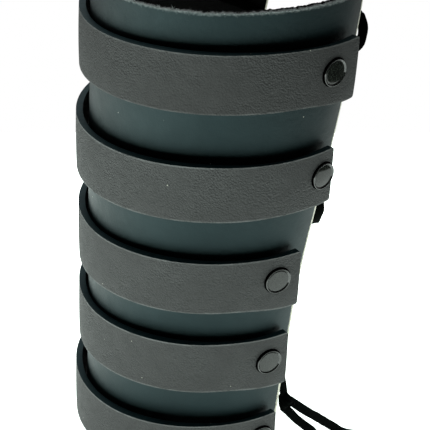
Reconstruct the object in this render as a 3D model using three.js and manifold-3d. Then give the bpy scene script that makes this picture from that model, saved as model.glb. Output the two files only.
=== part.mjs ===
// Laced leather forearm gauntlet, standing on its wrist end.
// Millimetres, +Z up. The arm goes in along Z, and the open seam faces +X.

import * as THREE from 'three';
import { mergeVertices } from 'three/addons/utils/BufferGeometryUtils.js';
import Module from 'manifold-3d';

const { degToRad, lerp, smoothstep } = THREE.MathUtils;

// Rolled sheet of the sleeve
const LENGTH = 237;
const SHEET = 3;
const WRIST_RADIUS = 52.6;
const ELBOW_RADIUS = 60.8;
const ELBOW_SHIFT = 19.4;
const SPINE_ANGLE = degToRad(199.2);
const WRIST_HALF_WRAP = degToRad(113.8);
const ELBOW_HALF_WRAP = degToRad(129.8);
const FLARE_FROM = 80;
const FLARE_TO = 230;
const SHEET_COLUMNS = 36;
const SHEET_ROWS = 7;

// Straps round the sleeve, from the elbow end down
const STRAP_WIDTH = 25.4;
const STRAP_THICKNESS = 3;
const END_GAP = 1.6;
const STRAP_CORNER = 1;
const STRAP_END_LEAN = degToRad(2.4);
const STRAP_COLUMNS = 32;
const DROP_RUN = 32;
const UPPER_DROP = 0.25;
// top: height of the upper edge; spine_gap: between strap and sheet at the spine, END_GAP at the ends;
// end_inset: from the seam edge to the strap's end; rivet_inset: from the strap's end to its rivet;
// rivet_rise: from the strap's middle up to its rivet;
// end_drop: how far the lower edge runs down over DROP_RUN to the end, the upper edge UPPER_DROP of that
const STRAPS = [
  { top: 221.0, spine_gap: 1.6, end_inset: 5.4, rivet_inset: 14.7, rivet_rise: 0, end_drop: 3 },
  { top: 172.5, spine_gap: 2.6, end_inset: 3.6, rivet_inset: 6.4, rivet_rise: 0.9, end_drop: 0.7 },
  { top: 126.9, spine_gap: 1.1, end_inset: 7.1, rivet_inset: 11.8, rivet_rise: 0.7, end_drop: 3 },
  { top: 85.5, spine_gap: 0.8, end_inset: 4.9, rivet_inset: 10.1, rivet_rise: -0.4, end_drop: 3 },
  { top: 41.9, spine_gap: 2.0, end_inset: 4.9, rivet_inset: 8.5, rivet_rise: 0.7, end_drop: 2 },
];

// Cap rivets
const CAP_RADIUS = 6.25;
const CAP_HEIGHT = 1.3;
const POST_RADIUS = 2;
const BACK_RADIUS = 5;
const BACK_HEIGHT = 1.5;
const RIVET_SIDES = 12;
const HOLE_SIDES = 12;

// Flat lace
const LACE_WIDTH = 4.3;
const LACE_THICKNESS = 1.6;
const LACE_CHAMFER = 0.5;
const HOOK_RADIUS = 6.2;
const EDGE_STEP = 3;
const CROSSING_POINTS = 5;
const KNOT_SIZE = new THREE.Vector3(4.8, 7.2, 6.8);
const KNOT_BEYOND_SEAM = 6.5;
const KNOT_HEIGHT = 38.8;
const KNOT_OFFSET = -1.1;
const SEAT_GAP = 0.3;
const LACE_GAP = 0.4;
const LACE_OFFSET = -(SHEET + LACE_GAP + LACE_THICKNESS / 2);
const LOOP_FACING = new THREE.Vector3(0.2, -0.98, 0);
const LOOP_REACH = 7;

const FRONT = 1;
const BACK = -1;
// The lace from the knot up the seam and down again. Each row is one strap end that it goes behind:
// rise: 1 going up, -1 going down; lift and drop: how far above and below the rivet its two runs pass the
// seam edge; bow and sag: how far the run to the next row stands out of the seam and hangs down;
// slack: places on the way to this row, as distance beyond the seam edge, offset and height
const LACING = [
  { strap: 4, side: FRONT, rise: 1, lift: 6.2, drop: 17, bow: 4, sag: 3, slack: [] },
  { strap: 3, side: BACK, rise: 1, lift: 6.2, drop: 6.2, bow: 4, sag: 8, slack: [] },
  {
    strap: 2, side: FRONT, rise: 1, lift: 6.2, drop: 14, bow: 4, sag: 3,
    slack: [[8.4, -4.5, 130], [4.2, -1.4, 139.5]],
  },
  { strap: 1, side: BACK, rise: 1, lift: 6.2, drop: 14, bow: 14, sag: -2, slack: [] },
  {
    strap: 1, side: FRONT, rise: -1, lift: 0.2, drop: 7.5, bow: 8, sag: 3,
    slack: [[11.0, -4.6, 222.5], [8.6, -1.0, 217], [4.8, -0.6, 211.5]],
  },
  { strap: 2, side: BACK, rise: -1, lift: 6.2, drop: 6.2, bow: 8, sag: 3, slack: [] },
  { strap: 3, side: FRONT, rise: -1, lift: 6.2, drop: 6.2, bow: 8, sag: 3, slack: [] },
  { strap: 4, side: BACK, rise: -1, lift: 6.2, drop: 6.2, bow: 6, sag: 9, slack: [] },
];

// The lace's two free ends, from the knot down to the surface that the gauntlet stands on
const UPPER_END = [
  [37.9, -33.6, 37.2],
  [39.8, -32.4, 34.9],
  [42.6, -30.4, 31.4],
  [46.2, -27.6, 26.9],
  [50.4, -23.7, 21.6],
  [54.7, -19.8, 16.0],
  [59.2, -15.8, 10.3],
  [63.9, -12.4, 5.4],
  [69.2, -10.0, 2.3],
  [75.2, -9.8, 1.2],
  [81.0, -12.2, 1.0],
  [85.4, -17.2, 1.0],
  [87.6, -23.8, 1.0],
  [87.8, -31.0, 1.0],
  [86.2, -38.2, 1.0],
  [83.2, -45.0, 1.0],
  [79.0, -51.4, 1.0],
  [73.8, -57.0, 1.0],
];
const LOWER_END = [
  [34.7, -34.0, 33.8],
  [36.1, -33.0, 31.8],
  [38.0, -31.4, 28.6],
  [40.0, -29.6, 25.0],
  [42.2, -27.6, 21.6],
  [44.6, -25.6, 18.1],
  [47.6, -22.8, 13.6],
  [50.6, -20.2, 9.0],
  [53.8, -18.2, 5.2],
  [57.4, -17.4, 2.4],
  [61.4, -18.0, 1.2],
  [65.0, -20.2, 1.0],
  [68.0, -23.8, 1.0],
  [69.8, -28.8, 1.0],
  [70.4, -34.6, 1.0],
  [69.6, -41.0, 1.0],
  [67.4, -47.4, 1.0],
  [64.0, -53.6, 1.0],
  [59.6, -59.2, 1.0],
];
const END_FACING = new THREE.Vector3(0, -0.7, 0.7);
const END_TURN_FROM = 0.38;
const END_TURN_TO = 0.5;

const LEATHER = { color: 0x34393a, roughness: 0.55, metalness: 0 };
const STRAP_LEATHER = { color: 0x4b4e4d, roughness: 0.75, metalness: 0 };
const BLACK_METAL = { color: 0x0d0f0f, roughness: 0.25, metalness: 0.6 };
const LACE_LEATHER = { color: 0x07090a, roughness: 0.8, metalness: 0 };

const UP = new THREE.Vector3(0, 0, 1);
const wasm = await Module();
wasm.setup();

// The sleeve's own coordinates: turn from the spine, positive towards the front seam edge,
// height above the wrist end, and distance outside the sheet's outer face
function sleeveRadius(height, offset) {
  return lerp(WRIST_RADIUS, ELBOW_RADIUS, height / LENGTH) + offset;
}

function axisShift(height) {
  return ELBOW_SHIFT * height / LENGTH;
}

function onSleeve(turn, height, offset) {
  const radius = sleeveRadius(height, offset);
  const angle = SPINE_ANGLE + turn;
  return new THREE.Vector3(axisShift(height) + radius * Math.cos(angle), radius * Math.sin(angle), height);
}

function halfWrap(height) {
  return lerp(WRIST_HALF_WRAP, ELBOW_HALF_WRAP, smoothstep(height, FLARE_FROM, FLARE_TO));
}

// The way that the leather faces, at a turn and height or at any point beside the sleeve
function outward(turn, height) {
  const along = onSleeve(turn + 0.01, height, 0).sub(onSleeve(turn - 0.01, height, 0));
  const upward = onSleeve(turn, height + 1, 0).sub(onSleeve(turn, height - 1, 0));
  return along.cross(upward).normalize();
}

function outwardAt(point) {
  return outward(Math.atan2(point.y, point.x - axisShift(point.z)) - SPINE_ANGLE, point.z);
}

// A closed sheet with its columns and rows laid on the sleeve by place(across, up, depth), each 0 to 1
function rolledSheet(columns, rows, place) {
  const geometry = new THREE.BoxGeometry(1, 1, 1, columns, rows, 1);
  const position = geometry.attributes.position;
  for (let i = 0; i < position.count; i += 1) {
    const spot = place(position.getX(i) + 0.5, position.getY(i) + 0.5, position.getZ(i) + 0.5);
    position.setXYZ(i, spot.x, spot.y, spot.z);
  }
  return geometry;
}

function toSolid(geometry) {
  const bare = geometry.clone();
  bare.deleteAttribute('normal');
  bare.deleteAttribute('uv');
  const merged = mergeVertices(bare, 1e-4);
  const vertProperties = new Float32Array(merged.attributes.position.array);
  const triVerts = new Uint32Array(merged.index.array);
  return new wasm.Manifold(new wasm.Mesh({ numProp: 3, vertProperties, triVerts }));
}

function toGeometry(solid) {
  const mesh = solid.getMesh();
  const geometry = new THREE.BufferGeometry();
  geometry.setAttribute('position', new THREE.BufferAttribute(mesh.vertProperties, 3));
  geometry.setIndex(new THREE.BufferAttribute(mesh.triVerts, 1));
  geometry.computeVertexNormals();
  return geometry;
}

function named(name, geometry, finish) {
  const mesh = new THREE.Mesh(geometry, new THREE.MeshStandardMaterial(finish));
  mesh.name = name;
  return mesh;
}

// Where a strap lies: its middle height, the turns of its end and of its rivet, and the rivet's height
function strapPlace(strap) {
  const middle = strap.top - STRAP_WIDTH / 2;
  const radius = sleeveRadius(middle, END_GAP + STRAP_THICKNESS);
  const end = halfWrap(middle) - strap.end_inset / radius;
  return { middle, end, rivet: end - strap.rivet_inset / radius, height: middle + strap.rivet_rise };
}

const strapPlaces = STRAPS.map(strapPlace);

// A rivet's frame: origin on the strap's outer face, +Z out of the leather
function rivetMatrix(place, side) {
  const turn = side * place.rivet;
  const seat = onSleeve(turn, place.height, END_GAP + STRAP_THICKNESS);
  const turned = new THREE.Quaternion().setFromUnitVectors(UP, outward(turn, place.height));
  return new THREE.Matrix4().compose(seat, turned, new THREE.Vector3(1, 1, 1));
}

const rivetMatrices = strapPlaces.flatMap((place) => [rivetMatrix(place, FRONT), rivetMatrix(place, BACK)]);

function punchHoles(geometry, matrices) {
  const depth = 4 * (STRAP_THICKNESS + END_GAP + SHEET);
  const radius = POST_RADIUS + SEAT_GAP;
  let solid = toSolid(geometry);
  for (const matrix of matrices) {
    const drill = new THREE.CylinderGeometry(radius, radius, depth, HOLE_SIDES).rotateX(Math.PI / 2);
    solid = solid.subtract(toSolid(drill.applyMatrix4(matrix)));
  }
  return toGeometry(solid);
}

function shellGeometry() {
  const sheet = rolledSheet(SHEET_COLUMNS, SHEET_ROWS, (across, up, depth) => {
    const height = up * LENGTH;
    return onSleeve((2 * across - 1) * halfWrap(height), height, (depth - 1) * SHEET);
  });
  return punchHoles(sheet, rivetMatrices);
}

// A strap's outline from its lower edge up, with its corners cut
const STRAP_ROWS = [
  { height: 0, inset: STRAP_CORNER },
  { height: STRAP_CORNER, inset: 0 },
  { height: STRAP_WIDTH - STRAP_CORNER, inset: 0 },
  { height: STRAP_WIDTH, inset: STRAP_CORNER },
];

// The strap's columns lie closer together towards its ends, where its edges run down
function strapGeometry(strap, index) {
  const place = strapPlaces[index];
  const rows = STRAP_ROWS.length - 1;
  const band = rolledSheet(STRAP_COLUMNS, rows, (across, up, depth) => {
    const row = STRAP_ROWS[Math.round(up * rows)];
    const rise = row.height / STRAP_WIDTH;
    const from = 2 * across - 1;
    const share = from * (1.25 - 0.25 * from * from);
    const offset = lerp(strap.spine_gap, END_GAP, share * share) + depth * STRAP_THICKNESS;
    const radius = sleeveRadius(place.middle, offset);
    const end = place.end + STRAP_END_LEAN * (0.5 - rise) - row.inset / radius;
    const near = smoothstep(Math.abs(share), 1 - DROP_RUN / (radius * end), 1);
    const drop = near * strap.end_drop * lerp(1, UPPER_DROP, rise);
    return onSleeve(share * end, strap.top - STRAP_WIDTH + row.height - drop, offset);
  });
  return punchHoles(band, rivetMatrices.slice(2 * index, 2 * index + 2));
}

// Rivet turned on its axis: domed cap with a rolled rim, post, and flat back cap clear of a lace on the post
function rivetGeometry(laced) {
  const grip = STRAP_THICKNESS + END_GAP + SHEET + (laced ? LACE_GAP + LACE_THICKNESS : 0);
  const wallRise = HOOK_RADIUS ** 2 / (2 * WRIST_RADIUS);
  const back = -(grip + wallRise + SEAT_GAP);
  const profile = [
    [0, back - BACK_HEIGHT],
    [BACK_RADIUS - 1, back - BACK_HEIGHT],
    [BACK_RADIUS, back - BACK_HEIGHT / 2],
    [BACK_RADIUS, back],
    [POST_RADIUS, back],
    [POST_RADIUS, SEAT_GAP],
    [CAP_RADIUS - 0.4, SEAT_GAP],
    [CAP_RADIUS, 0.5 * CAP_HEIGHT],
    [CAP_RADIUS - 0.6, 0.88 * CAP_HEIGHT],
    [CAP_RADIUS - 1.4, 0.82 * CAP_HEIGHT],
    [CAP_RADIUS - 2.1, 0.7 * CAP_HEIGHT],
    [CAP_RADIUS / 3, 0.94 * CAP_HEIGHT],
    [0, CAP_HEIGHT],
  ];
  const points = profile.map(([radius, height]) => new THREE.Vector2(radius, height));
  return new THREE.LatheGeometry(points, RIVET_SIDES).rotateX(Math.PI / 2);
}

// A lace's path keeps its flat side facing one way at each point, and steps from knot to knot of its curve
class LacePath extends THREE.CatmullRomCurve3 {
  constructor(points, facing) {
    super(points, false, 'centripetal');
    this.facing = facing;
  }

  getUtoTmapping(share) {
    return share;
  }

  computeFrenetFrames(steps) {
    const frames = { tangents: [], normals: [], binormals: [] };
    for (let i = 0; i <= steps; i += 1) {
      const tangent = this.getTangent(i / steps);
      const binormal = tangent.clone().cross(this.facing(this.getPoint(i / steps), i / steps)).normalize();
      frames.tangents.push(tangent);
      frames.binormals.push(binormal);
      frames.normals.push(binormal.clone().cross(tangent));
    }
    return frames;
  }
}

function laceSection() {
  const thick = LACE_THICKNESS / 2;
  const wide = LACE_WIDTH / 2;
  const section = new THREE.Shape();
  section.moveTo(thick, LACE_CHAMFER - wide);
  section.lineTo(thick, wide - LACE_CHAMFER);
  section.lineTo(thick - LACE_CHAMFER, wide);
  section.lineTo(LACE_CHAMFER - thick, wide);
  section.lineTo(-thick, wide - LACE_CHAMFER);
  section.lineTo(-thick, LACE_CHAMFER - wide);
  section.lineTo(LACE_CHAMFER - thick, -wide);
  section.lineTo(thick - LACE_CHAMFER, -wide);
  section.closePath();
  return section;
}

function laceGeometry(points, facing) {
  const extrudePath = new LacePath(points, facing);
  const steps = points.length - 1;
  return new THREE.ExtrudeGeometry(laceSection(), { steps, extrudePath, bevelEnabled: false });
}

// A point on the lace by its distance inside the seam edge, its height and its offset
function besideSeam(side, inset, height, offset = LACE_OFFSET) {
  const turn = halfWrap(height) - inset / sleeveRadius(height, offset);
  return onSleeve(side * turn, height, offset);
}

// The lace behind a strap end, listed downwards: in past the seam edge, round the rivet's post, and out
function hookPoints({ strap, side, lift, drop }) {
  const { height, rivet } = strapPlaces[strap - 1];
  const radius = sleeveRadius(height, LACE_OFFSET);
  const round = [90, 45, 0, -45, -90].map((degrees) => {
    const angle = degToRad(degrees);
    const turn = rivet - HOOK_RADIUS * Math.cos(angle) / radius;
    return onSleeve(side * turn, height + HOOK_RADIUS * Math.sin(angle), LACE_OFFSET);
  });
  const edgeInset = (halfWrap(height) - rivet) * radius;
  const way = [edgeInset / 2, EDGE_STEP, -EDGE_STEP];
  const run = (start, finish) => way.map((inset, i) => {
    return besideSeam(side, inset, height + lerp(start, finish, (i + 1) / way.length));
  });
  return [...run(HOOK_RADIUS, lift).reverse(), ...round, ...run(-HOOK_RADIUS, -drop)];
}

// A run over the open seam: bowed out along the seam's direction and sagging between its ends
const SEAM_DIRECTION = new THREE.Vector3(Math.cos(SPINE_ANGLE + Math.PI), Math.sin(SPINE_ANGLE + Math.PI), 0);

function crossingPoints(from, to, bow, sag) {
  const points = [];
  for (let i = 1; i <= CROSSING_POINTS; i += 1) {
    const share = i / (CROSSING_POINTS + 1);
    const swell = Math.sin(Math.PI * share);
    const spot = new THREE.Vector3().lerpVectors(from, to, share);
    points.push(spot.addScaledVector(SEAM_DIRECTION, bow * swell).addScaledVector(UP, -sag * swell));
  }
  return points;
}

const knotTurn = halfWrap(KNOT_HEIGHT) + KNOT_BEYOND_SEAM / sleeveRadius(KNOT_HEIGHT, KNOT_OFFSET);
const knotCentre = onSleeve(knotTurn, KNOT_HEIGHT, KNOT_OFFSET);

function fromKnot(right, back, up) {
  return knotCentre.clone().add(new THREE.Vector3(right, back, up));
}

function lacingPoints() {
  const hooks = LACING.map((row) => {
    const slack = row.slack.map(([beyond, offset, height]) => besideSeam(row.side, -beyond, height, offset));
    return [...slack, ...(row.rise > 0 ? hookPoints(row).reverse() : hookPoints(row))];
  });
  const start = fromKnot(-0.9, -0.4, KNOT_SIZE.z / 2 + SEAT_GAP);
  const finish = fromKnot(-1, KNOT_SIZE.y / 2 + SEAT_GAP, 1);
  const points = [start, fromKnot(-2, -0.6, KNOT_SIZE.z / 2 + 8)];
  hooks.forEach((hook, index) => {
    const row = LACING[index];
    const next = index + 1 < hooks.length ? hooks[index + 1][0] : finish;
    points.push(...hook, ...crossingPoints(hook.at(-1), next, row.bow, row.sag));
  });
  points.push(finish);
  return points;
}

// The lace lies flat on the sleeve, and turns its flat side to the front where it hangs slack
const slackSpots = LACING.flatMap(({ side, slack }) => {
  return slack.map(([beyond, offset, height]) => besideSeam(side, -beyond, height, offset));
});

function laceFacing(point) {
  const nearest = Math.min(...slackSpots.map((spot) => spot.distanceTo(point)));
  return outwardAt(point).lerp(LOOP_FACING, Math.exp(-((nearest / LOOP_REACH) ** 2)));
}

function knotGeometry() {
  const knot = new THREE.SphereGeometry(0.5, 12, 8).rotateX(Math.PI / 2);
  return knot.scale(KNOT_SIZE.x, KNOT_SIZE.y, KNOT_SIZE.z).translate(...knotCentre.toArray());
}

// A free end turns its flat side from the front at the knot to straight up on the surface
function freeEndGeometry(route) {
  const points = route.map((spot) => new THREE.Vector3(...spot));
  return laceGeometry(points, (point, share) => {
    return END_FACING.clone().lerp(UP, smoothstep(share, END_TURN_FROM, END_TURN_TO));
  });
}

const sleeve = new THREE.Group();
sleeve.add(named('shell', shellGeometry(), LEATHER));
STRAPS.forEach((strap, index) => {
  sleeve.add(named(`strap_${index + 1}`, strapGeometry(strap, index), STRAP_LEATHER));
});
rivetMatrices.forEach((matrix, index) => {
  const side = index % 2 === 0 ? 'front' : 'back';
  const strap = Math.floor(index / 2) + 1;
  const laced = LACING.some((row) => row.strap === strap);
  const rivet = named(`rivet_${side}_${strap}`, rivetGeometry(laced), BLACK_METAL);
  rivet.applyMatrix4(matrix);
  sleeve.add(rivet);
});
sleeve.add(named('lacing', laceGeometry(lacingPoints(), laceFacing), LACE_LEATHER));
sleeve.add(named('lace_knot', knotGeometry(), LACE_LEATHER));

// The sleeve stands with the middle of its base at the origin
sleeve.updateMatrixWorld(true);
const middle = new THREE.Box3().setFromObject(sleeve, true).getCenter(new THREE.Vector3());
sleeve.position.set(-middle.x, -middle.y, 0);

const gauntlet = new THREE.Group();
gauntlet.add(sleeve);
gauntlet.add(named('lace_end_upper', freeEndGeometry(UPPER_END), LACE_LEATHER));
gauntlet.add(named('lace_end_lower', freeEndGeometry(LOWER_END), LACE_LEATHER));

export default gauntlet;
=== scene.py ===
import math
import random
from typing import NamedTuple

import bmesh
import bpy
from bpy.props import FloatProperty, FloatVectorProperty, PointerProperty
from mathutils import Matrix, Vector, noise
from mathutils.geometry import interpolate_bezier


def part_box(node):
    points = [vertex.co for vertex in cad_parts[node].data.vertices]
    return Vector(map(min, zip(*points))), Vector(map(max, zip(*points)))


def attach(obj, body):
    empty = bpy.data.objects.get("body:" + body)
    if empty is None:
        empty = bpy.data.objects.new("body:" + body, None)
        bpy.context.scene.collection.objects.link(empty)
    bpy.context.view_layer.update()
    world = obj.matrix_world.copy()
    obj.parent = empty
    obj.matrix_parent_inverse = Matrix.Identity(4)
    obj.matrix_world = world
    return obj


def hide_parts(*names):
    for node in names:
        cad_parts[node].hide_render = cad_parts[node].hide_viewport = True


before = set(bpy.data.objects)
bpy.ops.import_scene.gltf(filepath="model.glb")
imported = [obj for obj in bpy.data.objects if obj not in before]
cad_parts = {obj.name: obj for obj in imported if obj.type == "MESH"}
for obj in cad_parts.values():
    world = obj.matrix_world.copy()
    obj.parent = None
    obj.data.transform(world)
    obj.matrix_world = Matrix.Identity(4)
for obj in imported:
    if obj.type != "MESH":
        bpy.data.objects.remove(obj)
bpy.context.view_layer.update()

bl_info = {
    "name": "Laced Leather Gauntlet",
    "version": (1, 0, 0),
    "blender": (4, 5, 0),
    "location": "View3D > Sidebar > Gauntlet",
    "description": "Builds a laced leather forearm gauntlet with riveted straps",
    "category": "Add Mesh",
}

UP = Vector((0, 0, 1))
FRONT = 1
BACK = -1


class StrapCut(NamedTuple):
    """How one strap lies on the sleeve, in metres."""

    spine_gap: float
    end_inset: float
    rivet_inset: float
    rivet_rise: float
    end_drop: float


STRAP_CUTS = (
    StrapCut(0.0016, 0.0054, 0.0147, 0.0, 0.0030),
    StrapCut(0.0026, 0.0036, 0.0064, 0.0009, 0.0007),
    StrapCut(0.0011, 0.0071, 0.0118, 0.0007, 0.0030),
    StrapCut(0.0008, 0.0049, 0.0101, -0.0004, 0.0030),
    StrapCut(0.0020, 0.0049, 0.0085, 0.0007, 0.0020),
)
STRAP_WIDTH = 0.0254
# Heights over which painted shade darkens the straps' leather: the top strap, which less of the table's
# light reaches, is darker
SHADE_FROM, SHADE_TO = 0.175, 0.192


class LaceTurn(NamedTuple):
    """One strap end that the lace goes behind, and the run from there to the next one."""

    strap: int
    side: int
    rise: int
    lift: float
    drop: float
    bow: float
    sag: float
    slack: tuple = ()


LACE_TURNS = (
    LaceTurn(4, FRONT, 1, 0.0062, 0.0170, 0.004, 0.003),
    LaceTurn(3, BACK, 1, 0.0062, 0.0062, 0.004, 0.008),
    LaceTurn(2, FRONT, 1, 0.0062, 0.0140, 0.004, 0.003,
             ((0.0084, -0.0045, 0.1300), (0.0042, -0.0014, 0.1395))),
    LaceTurn(1, BACK, 1, 0.0062, 0.0140, 0.014, -0.002),
    LaceTurn(1, FRONT, -1, 0.0002, 0.0075, 0.008, 0.003,
             ((0.0110, -0.0046, 0.2225), (0.0086, -0.0010, 0.2170), (0.0048, -0.0006, 0.2115))),
    LaceTurn(2, BACK, -1, 0.0062, 0.0062, 0.008, 0.003),
    LaceTurn(3, FRONT, -1, 0.0062, 0.0062, 0.008, 0.003),
    LaceTurn(4, BACK, -1, 0.0062, 0.0062, 0.006, 0.009),
)

# The lace's free ends, from the knot down to the surface
UPPER_END = (
    (0.0379, -0.0336, 0.0372),
    (0.0398, -0.0324, 0.0349),
    (0.0426, -0.0304, 0.0314),
    (0.0462, -0.0276, 0.0269),
    (0.0504, -0.0237, 0.0216),
    (0.0547, -0.0198, 0.0160),
    (0.0592, -0.0158, 0.0103),
    (0.0639, -0.0124, 0.0054),
    (0.0692, -0.0100, 0.0023),
    (0.0752, -0.0098, 0.0012),
    (0.0810, -0.0122, 0.0010),
    (0.0854, -0.0172, 0.0010),
    (0.0876, -0.0238, 0.0010),
    (0.0878, -0.0310, 0.0010),
    (0.0862, -0.0382, 0.0010),
    (0.0832, -0.0450, 0.0010),
    (0.0790, -0.0514, 0.0010),
    (0.0738, -0.0570, 0.0010),
)
LOWER_END = (
    (0.0347, -0.0340, 0.0338),
    (0.0361, -0.0330, 0.0318),
    (0.0380, -0.0314, 0.0286),
    (0.0400, -0.0296, 0.0250),
    (0.0422, -0.0276, 0.0216),
    (0.0446, -0.0256, 0.0181),
    (0.0476, -0.0228, 0.0136),
    (0.0506, -0.0202, 0.0090),
    (0.0538, -0.0182, 0.0052),
    (0.0574, -0.0174, 0.0024),
    (0.0614, -0.0180, 0.0012),
    (0.0650, -0.0202, 0.0010),
    (0.0680, -0.0238, 0.0010),
    (0.0698, -0.0288, 0.0010),
    (0.0704, -0.0346, 0.0010),
    (0.0696, -0.0410, 0.0010),
    (0.0674, -0.0474, 0.0010),
    (0.0640, -0.0536, 0.0010),
    (0.0596, -0.0592, 0.0010),
)
# Way that a free end's broad side faces at the knot, and the shares of its length where it turns flat
END_FACING = Vector((0, -0.7, 0.7))
END_TURN = (0.38, 0.50)
# The same where the lace hangs slack, and how far that reaches
LOOP_FACING = Vector((0.2, -0.98, 0))
LOOP_REACH = 0.007
INTO_KNOT = 0.0022
# The tie's two strands, from the knot's middle
UPPER_STRAND = ((-0.0009, -0.0004, 0.0040), (-0.0005, -0.0020, 0.0020), (0.0010, -0.0022, 0.0))
LOWER_STRAND = (
    (-0.0010, 0.0039, 0.0010),
    (-0.0016, 0.0016, 0.0014),
    (-0.0016, -0.0010, -0.0006),
    (-0.0010, -0.0012, -0.0030),
)
LACE_STEPS = 5

TOP_LIGHT_SIZE = 0.8
TOP_LIGHT_PLACE = Vector((-0.2, 0.5, 1.2))

# Tones of painted shade: on the top strap, on the rivet caps' walls, and under the sleeve in the table's
# glow
TOP_STRAP_SHADE = (0.002, 0.002, 0.002, 1)
WALL_SHADE = (0.0005, 0.0005, 0.0005, 1)
SHADED = (0.05, 0.05, 0.05, 1)


def length_of(name, words, default):
    return FloatProperty(name=name, description=words, default=default, unit="LENGTH", precision=4)


def angle_of(name, words, degrees):
    return FloatProperty(
        name=name, description=words, default=math.radians(degrees), subtype="ANGLE", unit="ROTATION"
    )


def share_of(name, words, default):
    return FloatProperty(name=name, description=words, default=default, min=0, max=1, subtype="FACTOR")


def colour_of(name, words, default):
    return FloatVectorProperty(
        name=name, description=words, default=default, size=4, min=0, max=1, subtype="COLOR"
    )


class GauntletSleeve(bpy.types.PropertyGroup):
    """The rolled sheet."""

    wrist_radius: length_of("Wrist radius", "Outside of the sheet at the wrist end", 0.0526)
    elbow_radius: length_of("Elbow radius", "Outside of the sheet at the elbow end", 0.0608)
    lean: length_of("Lean", "How far the elbow end stands towards the seam", 0.0194)
    spine: angle_of("Spine", "Direction of the sheet's middle line", 199.2)
    wrist_wrap: angle_of("Wrist wrap", "From the spine to a seam edge at the wrist end", 113.8)
    elbow_wrap: angle_of("Elbow wrap", "From the spine to a seam edge at the elbow end", 129.8)
    flare_from: length_of("Flare from", "Height where the sheet starts to widen", 0.080)
    flare_to: length_of("Flare to", "Height where the sheet has its full width", 0.230)
    sheet: length_of("Sheet", "Thickness of the leather", 0.003)
    ragged: length_of("Ragged edge", "Unevenness of the raw elbow edge", 0.0005)
    skive: length_of("Skive", "How much thinner the leather is at the seam edges", 0.0004)
    skive_width: length_of("Skive width", "Width of the thinned strip", 0.0022)
    rest: length_of("Rest", "Height of the outer face's lower edge", 0.0002)
    fibre: length_of("Fibres", "Length of the loose fibres at the elbow edge", 0.0012)


class GauntletStraps(bpy.types.PropertyGroup):
    """The straps."""

    thickness: length_of("Thickness", "Thickness of the leather", 0.003)
    end_gap: length_of("End gap", "Between strap and sleeve at the rivets", 0.0016)
    corner: length_of("Corner", "Radius of the end corners", 0.0010)
    end_lean: angle_of("End lean", "How much further round the lower corner reaches", 2.4)
    drop_run: length_of("Drop run", "Length over which the edges run down to the end", 0.032)
    upper_drop: share_of("Upper drop", "The upper edge's share of the drop", 0.25)
    crown: length_of("Crown", "How far the middle stands above the edges", 0.0003)
    stand_off: length_of("Stand off", "How far the upper edge stands off between spine and end", 0.0020)
    pinch: length_of("Pinch", "How far a rivet pulls the leather in", 0.0004)
    edge_round: length_of("Edge round", "Rounding of the cut edges", 0.0007)


class GauntletRivets(bpy.types.PropertyGroup):
    """The cap rivets."""

    cap_radius: length_of("Cap radius", "Foot of the cap's wall", 0.0064)
    flank: length_of("Flank", "How far the wall slopes in from foot to bead", 0.0004)
    disc_radius: length_of("Disc radius", "Flat middle of the cap", 0.0047)
    disc_rise: length_of("Disc rise", "Height of the disc's middle", 0.00105)
    dome: length_of("Dome", "How far the disc's middle stands above its edge", 0.0002)
    valley: length_of("Valley", "Height of the valley between disc and bead", 0.00055)
    valley_width: length_of("Valley width", "From the disc's edge to the valley's bottom", 0.0003)
    bead_rise: length_of("Bead rise", "Height of the bead round the cap", 0.00125)
    bead_width: length_of("Bead width", "Rounding of the bead's outer side", 0.0003)
    post_radius: length_of("Post radius", "Radius of the post", 0.002)
    back_radius: length_of("Back radius", "Radius of the cap inside the sleeve", 0.005)
    back_height: length_of("Back height", "Thickness of the cap inside the sleeve", 0.0015)


class GauntletLace(bpy.types.PropertyGroup):
    """The lace."""

    width: length_of("Width", "Width of the flat lace", 0.0043)
    thickness: length_of("Thickness", "Thickness of the flat lace", 0.0016)
    hook_radius: length_of("Hook radius", "Bend round a rivet's post", 0.0062)
    edge_step: length_of("Edge step", "Nearest places to the seam edge, on either side", 0.003)
    gap: length_of("Gap", "Between lace and sleeve", 0.0004)


class GauntletColours(bpy.types.PropertyGroup):
    """The finishes."""

    shell: colour_of("Sleeve", "Smooth side of the sleeve", (0.0016, 0.0062, 0.0070, 1))
    sheen: colour_of("Sheen", "Shine of the sleeve's smooth side", (0.64, 0.94, 1.0, 1))
    inside: colour_of("Inside", "Flesh side of the sleeve", (0.006, 0.006, 0.006, 1))
    raw_rim: colour_of("Raw rim", "Fibres at the sleeve's ends", (0.42, 0.46, 0.46, 1))
    raw_seam: colour_of("Raw seam", "Pale core at the seam edges", (0.80, 0.77, 0.64, 1))
    # Colour of the painted highlight along the sleeve's seam edges
    edge_highlight: colour_of("Rubbed", "Sleeve rubbed thin beside the seam", (0.080, 0.070, 0.070, 1))
    strap: colour_of("Strap", "Grained side of the straps", (0.0325, 0.0345, 0.0345, 1))
    strap_edge: colour_of("Strap edge", "Burnished edges of the straps", (0.018, 0.048, 0.054, 1))
    metal: colour_of("Metal", "Black metal of the rivets", (0.010, 0.012, 0.010, 1))
    lace: colour_of("Lace", "The lace", (0.0004, 0.0008, 0.0006, 1))
    dust: colour_of("Dust", "Specks of dust", (0.50, 0.50, 0.42, 1))
    floor: colour_of("Floor", "The floor", (0.92, 0.92, 0.92, 1))
    glow: colour_of("Glow", "Light of the table", (0.89, 1.0, 0.94, 1))


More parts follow.
